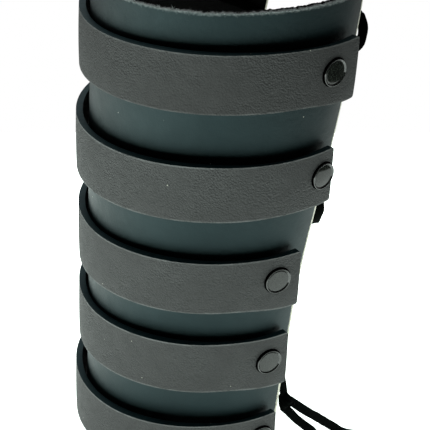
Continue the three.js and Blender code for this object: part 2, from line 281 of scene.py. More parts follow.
class GauntletStage(bpy.types.PropertyGroup):
    """The floor, lights and camera."""

    camera_place: FloatVectorProperty(
        name="Camera place", description="From the middle of the wrist end", subtype="TRANSLATION",
        unit="LENGTH", default=(0.010906, -0.5909, 0.4277),
    )
    camera_pitch: angle_of("Camera pitch", "How far the camera looks down", 27.67)
    lens: FloatProperty(name="Lens", description="Focal length", default=121.56, unit="CAMERA")
    table_left: length_of("Table left", "From the object to the table's left side", 1.30)
    table_right: length_of("Table right", "From the object to the table's right side", 0.345)
    table_front: length_of("Table front", "From the object to the table's front", 0.90)
    table_back: length_of("Table back", "From the object to the table's back", 0.35)
    table_glow: FloatProperty(name="Table glow", description="Light of the table itself", default=3.7)
    dim_share: share_of("Dim share", "The table's light outside its brightest corners", 0.56)
    sky: FloatProperty(name="Sky", description="Light from the front and above", default=0.03)
    backdrop: FloatProperty(name="Backdrop", description="Light from behind", default=0.30)
    top: FloatProperty(name="Top", description="Soft light from above", default=2.6, unit="POWER")


SETTINGS = {
    "gauntlet_sleeve": GauntletSleeve,
    "gauntlet_straps": GauntletStraps,
    "gauntlet_rivets": GauntletRivets,
    "gauntlet_lace": GauntletLace,
    "gauntlet_colours": GauntletColours,
    "gauntlet_stage": GauntletStage,
}


def lerp(start, finish, share):
    return start + (finish - start) * share


def smoothstep(value, low, high):
    share = min(1, max(0, (value - low) / (high - low)))
    return share * share * (3 - 2 * share)


class Sleeve:
    """The sheet's outer face, by turn from the spine, height and distance outside the face."""

    def __init__(self, scene):
        self.cut = scene.gauntlet_sleeve
        self.straps = scene.gauntlet_straps
        self.lace = scene.gauntlet_lace
        low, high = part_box("shell")
        self.length = high.z - low.z
        self.base = Vector((low.x + self.cut.wrist_radius, (low.y + high.y) / 2, low.z))

    def radius(self, height, offset=0.0):
        return lerp(self.cut.wrist_radius, self.cut.elbow_radius, height / self.length) + offset

    def axis(self, height):
        return self.base + Vector((self.cut.lean * height / self.length, 0, height))

    def spot(self, turn, height, offset=0.0):
        radius = self.radius(height, offset)
        angle = self.cut.spine + turn
        return self.axis(height) + Vector((radius * math.cos(angle), radius * math.sin(angle), 0))

    def half_wrap(self, height):
        share = smoothstep(height, self.cut.flare_from, self.cut.flare_to)
        return lerp(self.cut.wrist_wrap, self.cut.elbow_wrap, share)

    def facing(self, turn, height):
        step = 0.001
        along = self.spot(turn + step, height) - self.spot(turn - step, height)
        upward = self.spot(turn, height + step) - self.spot(turn, height - step)
        return along.cross(upward).normalized()

    def facing_at(self, point):
        out = point - self.axis(point.z)
        return self.facing(math.atan2(out.y, out.x) - self.cut.spine, point.z)

    def seam_spot(self, side, beyond, height, offset):
        turn = self.half_wrap(height) + beyond / self.radius(height, offset)
        return self.spot(side * turn, height, offset)

    def strap_place(self, number):
        """A strap's middle height and its end's turn, then its rivet's turn and height."""
        cut = STRAP_CUTS[number - 1]
        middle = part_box(f"strap_{number}")[1].z - STRAP_WIDTH / 2
        radius = self.radius(middle, self.straps.end_gap + self.straps.thickness)
        end = self.half_wrap(middle) - cut.end_inset / radius
        return middle, end, end - cut.rivet_inset / radius, middle + cut.rivet_rise


class Flow:
    """A node's output that takes part in sums: each operator adds a Math node."""

    def __init__(self, finish, socket):
        self.finish = finish
        self.socket = socket

    def math(self, operation, first, second):
        return self.finish.node("ShaderNodeMath", {"operation": operation}, {0: first, 1: second})

    def __add__(self, other):
        return self.math("ADD", self, other)

    def __sub__(self, other):
        return self.math("SUBTRACT", self, other)

    def __rsub__(self, other):
        return self.math("SUBTRACT", other, self)

    def __mul__(self, other):
        return self.math("MULTIPLY", self, other)

    def __lt__(self, other):
        return self.math("LESS_THAN", self, other)

    __radd__ = __add__
    __rmul__ = __mul__


class Nodes:
    """A node tree, made node by node."""

    def __init__(self, tree):
        self.tree = tree

    def feed(self, socket, value):
        if isinstance(value, Flow):
            self.tree.links.new(value.socket, socket)
        else:
            socket.default_value = value

    def node(self, kind, settings, inputs, output=0):
        made = self.tree.nodes.new(kind)
        for key, value in settings.items():
            setattr(made, key, value)
        for key, value in inputs.items():
            self.feed(made.inputs[key], value)
        return Flow(self, made.outputs[output])

    def step(self, value, low, high, start=0.0, finish=1.0):
        inputs = {"Value": value, "From Min": low, "From Max": high, "To Min": start, "To Max": finish}
        return self.node("ShaderNodeMapRange", {"interpolation_type": "SMOOTHSTEP"}, inputs)

    def part(self, vector, axis):
        return self.node("ShaderNodeSeparateXYZ", {}, {"Vector": vector}, axis)


class Finish(Nodes):
    """One procedural material."""

    def __init__(self, name):
        self.material = bpy.data.materials.new(name)
        self.material.use_nodes = True
        super().__init__(self.material.node_tree)
        self.surface = self.tree.nodes["Principled BSDF"]
        self.place = self.node("ShaderNodeTexCoord", {}, {}, "Object")
        self.flat = self.node("ShaderNodeTexCoord", {}, {}, "UV")

    def grain(self, scale, detail=2.0, vector=None):
        inputs = {"Vector": vector or self.place, "Scale": scale, "Detail": detail}
        return self.node("ShaderNodeTexNoise", {}, inputs)

    def cells(self, scale, output="Distance", vector=None):
        inputs = {"Vector": vector or self.place, "Scale": scale}
        return self.node("ShaderNodeTexVoronoi", {}, inputs, output)

    def mix(self, factor, first, second):
        return self.node("ShaderNodeMix", {"data_type": "RGBA"}, {0: factor, 6: first, 7: second}, 2)

    def shades(self, factor, colour, dark, light):
        return self.mix(factor, times(colour, dark), times(colour, light))

    def stretch(self, vector, scale):
        return self.node("ShaderNodeMapping", {}, {"Vector": vector, "Scale": scale})

    def away(self, spot):
        inputs = {0: self.place, 1: spot}
        return self.node("ShaderNodeVectorMath", {"operation": "DISTANCE"}, inputs, "Value")

    def bump(self, height, strength, distance):
        inputs = {"Strength": strength, "Distance": distance, "Height": height}
        return self.node("ShaderNodeBump", {}, inputs)

    def specks(self, scale, size, share):
        """A mask of sparse round specks."""
        chosen = self.part(self.cells(scale, "Color"), "X") < share
        return (self.cells(scale) < size) * chosen

    def shade(self, inputs):
        for name, value in inputs.items():
            self.feed(self.surface.inputs[name], value)
        return self.material


def times(colour, factor):
    return tuple(min(1, part * factor) for part in colour[:3]) + (1,)


def shell_leather(colours, sleeve):
    """Smooth satin hide with faint clouds, fine pores and specks of dust, bare at its edges, with a
    painted highlight along the seam edges.
    """
    finish = Finish("shell_leather")
    seam_distance = finish.part(finish.flat, "X")
    height = finish.part(finish.flat, "Y")
    below_rim = sleeve.length - height
    clouds = finish.step(finish.grain(38, 4), 0.35, 0.68)
    pores = finish.grain(2600, 3)
    tone = finish.shades(clouds, colours.shell, 0.82, 1.22)
    # Painted highlight: a paler strip along the seam edges, stronger towards the top, where the sheet
    # turns away and catches the light.
    beside_seam = finish.step(seam_distance, 0.001, 0.014, 1.0, 0.0)
    edge_highlight = beside_seam * finish.step(height, 0.04, 0.20, 0.12, 0.52)
    tone = finish.mix(edge_highlight, tone, colours.edge_highlight[:])
    tone = finish.mix(finish.specks(210, 0.055, 0.10), tone, colours.dust)
    frayed = finish.grain(900, 4)
    rim_fray, seam_fray = 0.0022, 0.0016
    bare_rim = finish.step(below_rim + rim_fray * frayed, 0.0009, 0.0026, 1.0, 0.0)
    tone = finish.mix(bare_rim, tone, times(colours.raw_rim, 0.6))
    bare_seam = finish.step(seam_distance + seam_fray * frayed, 0.0021, 0.0029, 1.0, 0.0)
    tone = finish.mix(bare_seam, tone, colours.raw_seam)
    creases = finish.grain(420, 5)
    relief = pores * 0.4 + creases * 0.6
    return finish.shade({
        "Base Color": tone,
        "Roughness": 0.43 + 0.12 * finish.grain(160, 3),
        "Normal": finish.bump(relief, 0.5, 0.0004),
        "Specular IOR Level": 0.36,
        "Specular Tint": colours.sheen[:],
    })


def flesh_side(colours):
    """Black nap of the inside."""
    finish = Finish("flesh_side")
    nap = finish.grain(1500, 5)
    tone = finish.shades(nap, colours.inside, 0.5, 1.6)
    return finish.shade({
        "Base Color": tone,
        "Roughness": 0.92,
        "Normal": finish.bump(nap, 0.5, 0.0006),
        "Specular IOR Level": 0.2,
    })


def raw_edge(colours, sleeve):
    """Torn fibres: grey at the ends, darker towards the inside, and paler along the seam."""
    finish = Finish("raw_edge")
    seam_distance = finish.part(finish.flat, "X")
    seam = finish.step(seam_distance, 0.0, 0.0012, 1.0, 0.0)
    fibres = finish.grain(1400, 5)
    rim = finish.shades(fibres, colours.raw_rim, 0.45, 1.7)
    depth = sleeve.cut.elbow_radius - finish.away(sleeve.axis(sleeve.length))
    ragged_reach = 0.0024 * finish.grain(700, 3)
    rim = finish.mix(finish.step(depth + ragged_reach, 0.0017, 0.0030), rim, colours.inside[:])
    pale = finish.shades(fibres, colours.raw_seam, 0.7, 1.15)
    return finish.shade({
        "Base Color": finish.mix(seam, rim, pale),
        "Roughness": 0.95,
        "Normal": finish.bump(fibres, 0.8, 0.0006),
        "Specular IOR Level": 0.15,
    })


def strap_leather(colours):
    """Matte pebbled hide, with a painted highlight along its edges and painted shade on the top strap."""
    finish = Finish("strap_leather")
    pebbles = finish.cells(1150)
    fine = finish.grain(2400, 3)
    clouds = finish.step(finish.grain(52, 5), 0.32, 0.70)
    tone = finish.shades(clouds, colours.strap, 0.80, 1.22)
    tone = finish.mix(finish.step(pebbles, 0.15, 0.75, 0.0, 0.5), tone, times(colours.strap, 0.4))
    # Painted highlight: a pale line along the top and bottom edges, where the rounded edges catch the
    # light.
    at_edge = finish.step(finish.part(finish.flat, "Y"), 0.0003, 0.0009, 1.0, 0.0)
    edge_highlight = at_edge * finish.step(finish.grain(130, 3), 0.3, 0.6, 0.3, 1.0)
    tone = finish.mix(edge_highlight, tone, times(colours.strap, 3.4))
    # Painted shade: the top strap is darkened, where less of the table's light reaches it.
    top_shade = finish.step(finish.part(finish.place, "Z"), SHADE_FROM, SHADE_TO, 0.0, 0.45)
    tone = finish.mix(top_shade, tone, TOP_STRAP_SHADE)
    tone = finish.mix(finish.specks(230, 0.055, 0.10), tone, colours.dust)
    relief = fine * 0.4 - pebbles * (0.25 + 0.55 * clouds)
    return finish.shade({
        "Base Color": tone,
        "Roughness": 0.62 + 0.16 * finish.grain(210, 3),
        "Normal": finish.bump(relief, 0.9, 0.0005),
        "Specular IOR Level": 0.55,
    })


def strap_edge(colours):
    """Burnished black edge with the hide's layers along it."""
    finish = Finish("strap_edge")
    layers = finish.grain(900, 4, finish.stretch(finish.place, (0.3, 0.3, 1)))
    tone = finish.shades(layers, colours.strap_edge, 0.6, 1.8)
    tone = finish.mix(finish.specks(260, 0.06, 0.15), tone, colours.dust)
    return finish.shade({
        "Base Color": tone,
        "Roughness": 0.42 + 0.2 * finish.grain(600, 3),
        "Normal": finish.bump(layers, 0.25, 0.0003),
        "Specular IOR Level": 0.45,
        "Specular Tint": colours.sheen[:],
    })


def black_metal(colours, rivets):
    """Black enamelled metal with fine handling marks, glossiest on the bead and dull on the cap's wall,
    whose near-black tone is painted shade for the dark ring round the cap.
    """
    finish = Finish("black_metal")
    film = finish.step(finish.grain(1700, 3), 0.42, 0.66)
    tone = finish.shades(film, colours.metal, 0.5, 2.4)
    from_middle = finish.part(finish.flat, "X")
    blend = 0.0001
    wall = rivets.bead_rise - rivets.bead_width
    on_bead = finish.step(finish.part(finish.flat, "Y"), wall - blend, wall)
    crest = rivets.cap_radius - rivets.flank - rivets.bead_width
    within = finish.step(from_middle, crest - blend, crest, 1.0, 0.0)
    glossy = on_bead + within * (1 - on_bead)
    valley = rivets.disc_radius + rivets.valley_width
    polish = finish.step(from_middle, rivets.disc_radius, valley, 0.55, 1.0)
    return finish.shade({
        # Painted shade: the cap's wall takes a near-black tone for the ring of shade round the cap.
        "Base Color": finish.mix(glossy, WALL_SHADE, tone),
        "Roughness": 0.6 + 0.3 * film,
        "Specular IOR Level": 0.0,
        "Normal": finish.bump(finish.grain(700, 3), 0.06, 0.0002),
        "Coat Weight": glossy * polish,
        "Coat Roughness": 0.07,
        "Coat IOR": 1.7,
    })


def lace_leather(colours):
    """Matte black lace, drawn along its length."""
    finish = Finish("lace_leather")
    drawn = finish.grain(1.0, 4, finish.stretch(finish.flat, (1500, 320, 1)))
    cross = finish.grain(1.0, 3, finish.stretch(finish.flat, (120, 1100, 1)))
    tone = finish.shades(drawn, colours.lace, 0.5, 2.4)
    relief = drawn * 0.5 + cross * 0.5
    return finish.shade({
        "Base Color": tone,
        "Roughness": 0.72 + 0.2 * cross,
        "Normal": finish.bump(relief, 0.55, 0.0004),
        "Specular IOR Level": 0.02,
    })


def pale_floor(colours, stage, sleeve):
    """A plain pale light table, brightest at its front left and shaded where the sleeve stands on it."""
    finish = Finish("pale_floor")
    fleck = finish.grain(25, 3)
    radius = sleeve.cut.wrist_radius
    away = finish.away(sleeve.base)
    under = finish.step(away, 0.3 * radius, 0.9 * radius)
    lit = under * finish.step(away, 1.2 * radius, 3 * radius, 0.72, 1.0)
    along = finish.part(finish.place, "X")
    to_left = finish.step(along, -0.40, 0.02, 1.0, 0.0)
    to_front = finish.step(finish.part(finish.place, "Y"), -0.15, 0.10, 1.0, 0.0)
    bright = to_left * to_front + 0.25 * (1 - to_left) * (1 - to_front)
    glow = finish.mix(bright, times(colours.glow, stage.dim_share), colours.glow[:])
    lit = lit * finish.step(along, 0.20, 0.32, 1.0, 0.56)
    return finish.shade({
        "Base Color": finish.mix(fleck, times(colours.floor, 0.985), colours.floor[:]),
        "Roughness": 0.8,
        "Emission Color": finish.mix(lit, SHADED, glow),
        "Emission Strength": stage.table_glow,
    })


def keep_flat(bm, measure):
    """Keeps the vertices' flat measures as the UV map."""
    flat = bm.loops.layers.uv.new("UVMap")
    for face in bm.faces:
        for loop in face.loops:
            loop[flat].uv = measure(loop.vert)


def laid_grid(columns, rows, place, measure):
    """A grid of faces laid by place(across, up), both 0 to 1, with its flat measures as its UV map."""
    bm = bmesh.new()
    bmesh.ops.create_grid(bm, x_segments=columns, y_segments=rows, size=0.5)
    shares = {vert: (vert.co.x + 0.5, vert.co.y + 0.5) for vert in bm.verts}
    keep_flat(bm, lambda vert: measure(*shares[vert]))
    for vert, share in shares.items():
        vert.co = place(*share)
    return bm


def linked(name, bm, materials):
    mesh = bpy.data.meshes.new(name)
    bm.to_mesh(mesh)
    bm.free()
    for material in materials:
        mesh.materials.append(material)
    mesh.shade_smooth()
    thing = bpy.data.objects.new(name, mesh)
    bpy.context.scene.collection.objects.link(thing)
    return thing


def piece(name, bm, materials, slot, *nodes):
    """A finished piece that stands for the given nodes."""
    made = linked(name, bm, materials)
    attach(made, "root")
    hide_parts(*nodes)
    return made


def thicken(made, thickness, edge_round):
    """Gives a laid sheet its wall, with its own finish inside and on the cut, and rounds the cut."""
    wall = made.modifiers.new("wall", "SOLIDIFY")
    wall.thickness = thickness
    wall.offset = -1
    wall.material_offset = 1
    wall.material_offset_rim = 2
    rounding = made.modifiers.new("cut_edge", "BEVEL")
    rounding.width = edge_round
    rounding.segments = 3
    rounding.limit_method = "ANGLE"
    rounding.angle_limit = math.radians(50)


def joined(parts):
    """One mesh of several."""
    whole = bmesh.new()
    for part in parts:
        mesh = bpy.data.meshes.new("part")
        part.to_mesh(mesh)
        part.free()
        whole.from_mesh(mesh)
        bpy.data.meshes.remove(mesh)
    return whole


def standing(place, facing):
    """Sets an upright thing at a place, turned to its facing."""
    return Matrix.Translation(place) @ UP.rotation_difference(facing).to_matrix().to_4x4()


def unevenness(place, scale, depth):
    return depth * noise.noise(place / scale)


def smooth_route(points, steps):
    """Places along a smooth curve through the points."""
    ends = [2 * points[0] - points[1], *points, 2 * points[-1] - points[-2]]
    route = []
    for before, start, finish, after in zip(ends, ends[1:], ends[2:], ends[3:]):
        first, span, last = (math.sqrt((b - a).length) for a, b in
                             ((before, start), (start, finish), (finish, after)))
        leave = (start - before) / first - (finish - before) / (first + span) + (finish - start) / span
        arrive = (finish - start) / span - (after - start) / (span + last) + (after - finish) / last
        handles = (start + leave * span / 3, finish - arrive * span / 3)
        route += interpolate_bezier(start, *handles, finish, steps + 1)[:-1]
    return [*route, points[-1]]


def route_length(route):
    return sum((after - before).length for before, after in zip(route, route[1:]))


LACE_SIDES = 16
LACE_SQUARENESS = 0.45


def rounded(value):
    return math.copysign(abs(value) ** LACE_SQUARENESS, value)


def lace_mesh(route, facings, width, thickness):
    """A flat lace along its route, its broad side turned to the given facings."""
    count = len(route) - 1
    spacing = route_length(route) / count
    sections = []
    for i, spot in enumerate(route):
        along = (route[min(i + 1, count)] - route[max(i - 1, 0)]).normalized()
        across = along.cross(facings[i]).normalized()
        sections.append((spot, across, across.cross(along)))

    def place(around, share):
        spot, across, out = sections[round(share * count)]
        angle = 2 * math.pi * around
        slim = 1 + unevenness(spot, 0.004, 0.10)
        wide = slim * width / 2 * rounded(math.cos(angle))
        deep = thickness / 2 * rounded(math.sin(angle))
        return spot + across * wide + out * deep

    def measure(around, share):
        return around * 2 * width, share * count * spacing

    bm = laid_grid(LACE_SIDES, count, place, measure)
    bmesh.ops.remove_doubles(bm, verts=bm.verts, dist=1e-6)
    bmesh.ops.holes_fill(bm, edges=[edge for edge in bm.edges if edge.is_boundary], sides=0)
    bmesh.ops.recalc_face_normals(bm, faces=bm.faces)
    return bm


class GAUNTLET_OT_stage(bpy.types.Operator):
    """Set up the floor, the lights and the camera"""

    bl_idname = "gauntlet.stage"
    bl_label = "Stage"

    def execute(self, context):
        scene = context.scene
        stage = scene.gauntlet_stage
        sleeve = Sleeve(scene)

        camera = bpy.data.objects.new("camera", bpy.data.cameras.new("camera"))
        camera.data.lens = stage.lens
        camera.data.clip_start = 0.01
        camera.location = sleeve.base + Vector(stage.camera_place)
        camera.rotation_euler = (math.pi / 2 - stage.camera_pitch, 0, 0)
        scene.collection.objects.link(camera)
        scene.camera = camera

        bm = bmesh.new()
        bmesh.ops.create_grid(bm, x_segments=4, y_segments=4, size=0.5)
        width = stage.table_left + stage.table_right
        depth = stage.table_front + stage.table_back
        corner = Vector((width / 2 - stage.table_left, depth / 2 - stage.table_front, 0))
        bmesh.ops.scale(bm, vec=(width, depth, 1), verts=bm.verts)
        bmesh.ops.translate(bm, vec=corner, verts=bm.verts)
        finish = pale_floor(scene.gauntlet_colours, stage, sleeve)
        linked("floor", bm, [finish])

        middle = sleeve.axis(sleeve.length / 2)
        light = bpy.data.lights.new("top_light", "AREA")
        light.energy = stage.top
        light.size = TOP_LIGHT_SIZE
        lamp = bpy.data.objects.new("top_light", light)
        lamp.location = middle + TOP_LIGHT_PLACE
        lamp.rotation_euler = (middle - lamp.location).to_track_quat("-Z", "Y").to_euler()
        lamp.visible_camera = False
        scene.collection.objects.link(lamp)

        world = bpy.data.worlds.new("studio")
        world.use_nodes = True
        sky = Nodes(world.node_tree)
        background = world.node_tree.nodes["Background"]
        seen = sky.node("ShaderNodeLightPath", {}, {}, "Is Camera Ray")
        way = sky.node("ShaderNodeTexCoord", {}, {}, "Generated")
        strength = sky.step(sky.part(way, "Y"), 0.0, 0.6, stage.sky, stage.backdrop)
        sky.feed(background.inputs["Color"], (1, 1, 1, 1))
        sky.feed(background.inputs["Strength"], strength + seen * (1 - strength))
        scene.world = world
        scene.view_settings.view_transform = "Standard"
        return {"FINISHED"}


class GAUNTLET_OT_lace_ends(bpy.types.Operator):
    """Lay the lace's two free ends"""

    bl_idname = "gauntlet.lace_ends"
    bl_label = "Lace Ends"

    def execute(self, context):
        lace = context.scene.gauntlet_lace
        finish = lace_leather(context.scene.gauntlet_colours)
        for name, points in (("upper", UPPER_END), ("lower", LOWER_END)):
            first, second, *others = [Vector(point) for point in points]
            inside = first - (second - first).normalized() * INTO_KNOT
            route = smooth_route([inside, first, second, *others], LACE_STEPS)
            shares = [i / (len(route) - 1) for i in range(len(route))]
            facings = [END_FACING.lerp(UP, smoothstep(share, *END_TURN)) for share in shares]
            bm = lace_mesh(route, facings, lace.width, lace.thickness)
            node = f"lace_end_{name}"
            end = piece(f"lace_{name}_free_end", bm, [finish], "lace_leather", node)
            route_length(route)
        return {"FINISHED"}


class GAUNTLET_OT_shell(bpy.types.Operator):
    """Roll the sheet of the sleeve"""

    bl_idname = "gauntlet.shell"
    bl_label = "Sleeve"

    columns = 520
    rows = 60
    row_crowding = 0.6
    ragged_band = 0.004
    edge_round = 0.0003
    # Unevenness: length and depth of its waves
    fine_wave, broad_wave = 0.0011, 0.015
    seam_wave, seam_depth = 0.03, 0.0004
    dent_wave, dent_depth = 0.06, 0.0005
    tuft_wave, tuft_depth = 0.0016, 0.8
    fibre_sectors = 60
    sector_fibres = 60
    fibre_root = 0.0003
    fibre_lean = 0.7
    thinnest, thickest, tip = 0.00006, 0.00015, 0.00002

    def execute(self, context):
        sleeve = Sleeve(context.scene)
        cut = sleeve.cut
        colours = context.scene.gauntlet_colours

        def spread(up):
            return lerp(up, (1 - math.cos(math.pi * up)) / 2, self.row_crowding)

        def place(across, up):
            height = max(cut.rest, sleeve.length * spread(up))
            turn = (2 * across - 1) * sleeve.half_wrap(height)
            spot = sleeve.spot(turn, height)
            rim = smoothstep(height, sleeve.length - self.ragged_band, sleeve.length)
            wave = sum(unevenness(spot, scale, cut.ragged) for scale in (self.fine_wave, self.broad_wave))
            seam = unevenness(spot, self.seam_wave, self.seam_depth) / sleeve.radius(height)
            at_edge = (2 * across - 1) ** 8
            dent = unevenness(spot, self.dent_wave, self.dent_depth)
            thinned = skived(measure(across, up)[0])
            return sleeve.spot(turn + seam * at_edge, height + rim * wave, dent - thinned)

        def measure(across, up):
            height = sleeve.length * spread(up)
            wrap = sleeve.half_wrap(height) * sleeve.radius(height)
            return wrap * (1 - abs(2 * across - 1)), height

        def skived(seam_distance):
            return cut.skive * (1 - smoothstep(seam_distance, 0, cut.skive_width))

        bm = laid_grid(self.columns, self.rows, place, measure)
        flat = bm.loops.layers.uv.active
        share = bm.verts.layers.deform.new()
        for vert in bm.verts:
            vert[share][0] = 1 - skived(vert.link_loops[0][flat].uv.x) / cut.sheet
        raw = raw_edge(colours, sleeve)
        finishes = [shell_leather(colours, sleeve), flesh_side(colours), raw]
        shell = piece("leather_sleeve", bm, finishes, "shell_leather", "shell")
        shell.vertex_groups.new(name="wall_share")
        thicken(shell, cut.sheet, self.edge_round)
        shell.modifiers["wall"].vertex_group = "wall_share"
        rim = linked("raw_rim_fibres", self.rim_fibres(sleeve), [raw])
        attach(rim, "root")
        return {"FINISHED"}

    def rim_fibres(self, sleeve):
        """Loose fibres that stand up from the raw elbow edge."""
        draw = random.Random(11)
        wrap = sleeve.half_wrap(sleeve.length)
        sectors = []
        for number in range(self.fibre_sectors):
            bm = bmesh.new()
            for _ in range(self.sector_fibres):
                turn = wrap * (2 * (number + draw.random()) / self.fibre_sectors - 1)
                depth = draw.random() * sleeve.cut.sheet
                root = sleeve.spot(turn, sleeve.length - self.fibre_root, -depth)
                lean = Vector((draw.gauss(0, self.fibre_lean), draw.gauss(0, self.fibre_lean), 1))
                tuft = 0.7 + unevenness(root, self.tuft_wave, self.tuft_depth)
                length = sleeve.cut.fibre * draw.uniform(0.3, 1.3) * max(0.2, tuft)
                stand = standing(root, lean) @ Matrix.Translation((0, 0, length / 2))
                bmesh.ops.create_cone(
                    bm, cap_ends=True, segments=3, radius1=draw.uniform(self.thinnest, self.thickest),
                    radius2=self.tip, depth=length, matrix=stand,
                )
            keep_flat(bm, lambda vert: (sleeve.cut.sheet, sleeve.length))
            sectors.append(bm)
        return joined(sectors)


class GAUNTLET_OT_straps(bpy.types.Operator):
    """Cut the straps and bend them round the sleeve"""

    bl_idname = "gauntlet.straps"
    bl_label = "Straps"

    columns = 240
    rows = 30
    pinch_reach = 0.008
    # Unevenness: length and depth of its waves
    edge_wave, edge_depth = 0.035, 0.0003
    face_wave, face_depth = 0.05, 0.0002

    def execute(self, context):
        sleeve = Sleeve(context.scene)
        colours = context.scene.gauntlet_colours
        finishes = [strap_leather(colours), flesh_side(colours), strap_edge(colours)]
        for number in range(1, len(STRAP_CUTS) + 1):
            bm = self.strap_mesh(sleeve, number)
            strap = piece(f"leather_strap_{number}", bm, finishes, "strap_leather", f"strap_{number}")
            thicken(strap, sleeve.straps.thickness, sleeve.straps.edge_round)
        return {"FINISHED"}

    def strap_mesh(self, sleeve, number):
        cut = STRAP_CUTS[number - 1]
        straps = sleeve.straps
        middle, end, rivet, rivet_height = sleeve.strap_place(number)
        radius = sleeve.radius(middle, straps.end_gap + straps.thickness)

        def rise_at(up):
            return STRAP_WIDTH * (1 - math.cos(math.pi * up)) / 2

        def corner_inset(rise):
            short = max(0, straps.corner - min(rise, STRAP_WIDTH - rise))
            return straps.corner - math.sqrt(straps.corner ** 2 - short ** 2)

        def place(across, up):
            rise = rise_at(up)
            share = 2 * across - 1
            level = rise / STRAP_WIDTH
            reach = end + straps.end_lean * (0.5 - level) - corner_inset(rise) / radius
            near = smoothstep(abs(share), 1 - straps.drop_run / (radius * reach), 1)
            drop = near * cut.end_drop * lerp(1, straps.upper_drop, level)
            turn = share * reach
            stand = straps.stand_off * level ** 2 * math.sin(math.pi * abs(share)) ** 2
            height = middle - STRAP_WIDTH / 2 + rise - drop + stand / 2
            to_rivet = math.hypot((abs(turn) - rivet) * radius, height - rivet_height)
            offset = (
                lerp(cut.spine_gap, straps.end_gap, share * share) + straps.thickness
                + straps.crown * (1 - (2 * level - 1) ** 2) + stand
                - straps.pinch * math.exp(-((to_rivet / self.pinch_reach) ** 2))
            )
            spot = sleeve.spot(turn, height, offset)
            wander = unevenness(spot, self.edge_wave, self.edge_depth)
            dent = unevenness(spot, self.face_wave, self.face_depth)
            return sleeve.spot(turn, height + wander, offset + dent)

        def measure(across, up):
            rise = rise_at(up)
            return (2 * across - 1) * end * radius, min(rise, STRAP_WIDTH - rise)

        return laid_grid(self.columns, self.rows, place, measure)


class GAUNTLET_OT_rivets(bpy.types.Operator):
    """Turn the cap rivets and set one at each strap end"""

    bl_idname = "gauntlet.rivets"
    bl_label = "Rivets"

    steps = 48
    back_clear = 0.0003
    back_edge = 0.0002

    def execute(self, context):
        sleeve = Sleeve(context.scene)
        metal = black_metal(context.scene.gauntlet_colours, context.scene.gauntlet_rivets)
        laced = {turn.strap for turn in LACE_TURNS}
        for number in range(1, len(STRAP_CUTS) + 1):
            _, _, rivet, height = sleeve.strap_place(number)
            for side, name in ((FRONT, "front"), (BACK, "back")):
                seat = sleeve.straps.end_gap + sleeve.straps.thickness
                facing = sleeve.facing(side * rivet, height)
                place = standing(sleeve.spot(side * rivet, height, seat), facing)
                bm = self.rivet_mesh(context.scene, number in laced)
                bmesh.ops.transform(bm, matrix=place, verts=bm.verts)
                place_name = f"{name}_{number}"
                piece(f"cap_rivet_{place_name}", bm, [metal], "rivet_black", f"rivet_{place_name}")
        return {"FINISHED"}

    def rivet_mesh(self, scene, laced):
        rivets = scene.gauntlet_rivets
        lace = scene.gauntlet_lace
        straps = scene.gauntlet_straps
        sheet = scene.gauntlet_sleeve
        grip = straps.end_gap + straps.thickness + sheet.sheet
        if laced:
            grip += lace.gap + lace.thickness
        back = -grip - lace.hook_radius ** 2 / (2 * sheet.wrist_radius) - self.back_clear
        profile = [(0, rivets.disc_rise)]
        for share in (0.2, 0.4, 0.6, 0.8, 0.93):
            profile.append((rivets.disc_radius * share, rivets.disc_rise - rivets.dome * share ** 2))
        edge_rise = rivets.disc_rise - rivets.dome
        for degrees in range(0, 91, 15):
            angle = math.radians(degrees)
            across = rivets.disc_radius + rivets.valley_width * math.sin(angle)
            profile.append((across, lerp(rivets.valley, edge_rise, math.cos(angle))))
        crest = rivets.cap_radius - rivets.flank - rivets.bead_width
        for share in (0.25, 0.5, 0.75, 0.9):
            profile.append((
                lerp(rivets.disc_radius + rivets.valley_width, crest, share),
                lerp(rivets.valley, rivets.bead_rise, share),
            ))
        for degrees in range(75, -1, -15):
            angle = math.radians(degrees)
            profile.append((
                crest + rivets.bead_width * math.cos(angle),
                rivets.bead_rise - rivets.bead_width * (1 - math.sin(angle)),
            ))
        profile += [
            (rivets.cap_radius, 0.0),
            (rivets.post_radius, 0.0),
            (rivets.post_radius, back),
            (rivets.back_radius - self.back_edge, back),
            (rivets.back_radius, back - self.back_edge),
            (rivets.back_radius, back - 0.6 * rivets.back_height),
            (rivets.back_radius - 0.0006, back - 0.95 * rivets.back_height),
            (rivets.back_radius - 0.0014, back - rivets.back_height),
            (0, back - rivets.back_height),
        ]
        bm = bmesh.new()
        line = [bm.verts.new((radius, 0, height)) for radius, height in profile]
        edges = [bm.edges.new(pair) for pair in zip(line, line[1:])]
        bmesh.ops.spin(
            bm, geom=line + edges, cent=(0, 0, 0), axis=UP, angle=2 * math.pi,
            steps=self.steps, use_merge=True,
        )
        bmesh.ops.remove_doubles(bm, verts=bm.verts, dist=1e-6)
        bmesh.ops.recalc_face_normals(bm, faces=bm.faces)
        keep_flat(bm, lambda vert: (vert.co.xy.length, vert.co.z))
        return bm


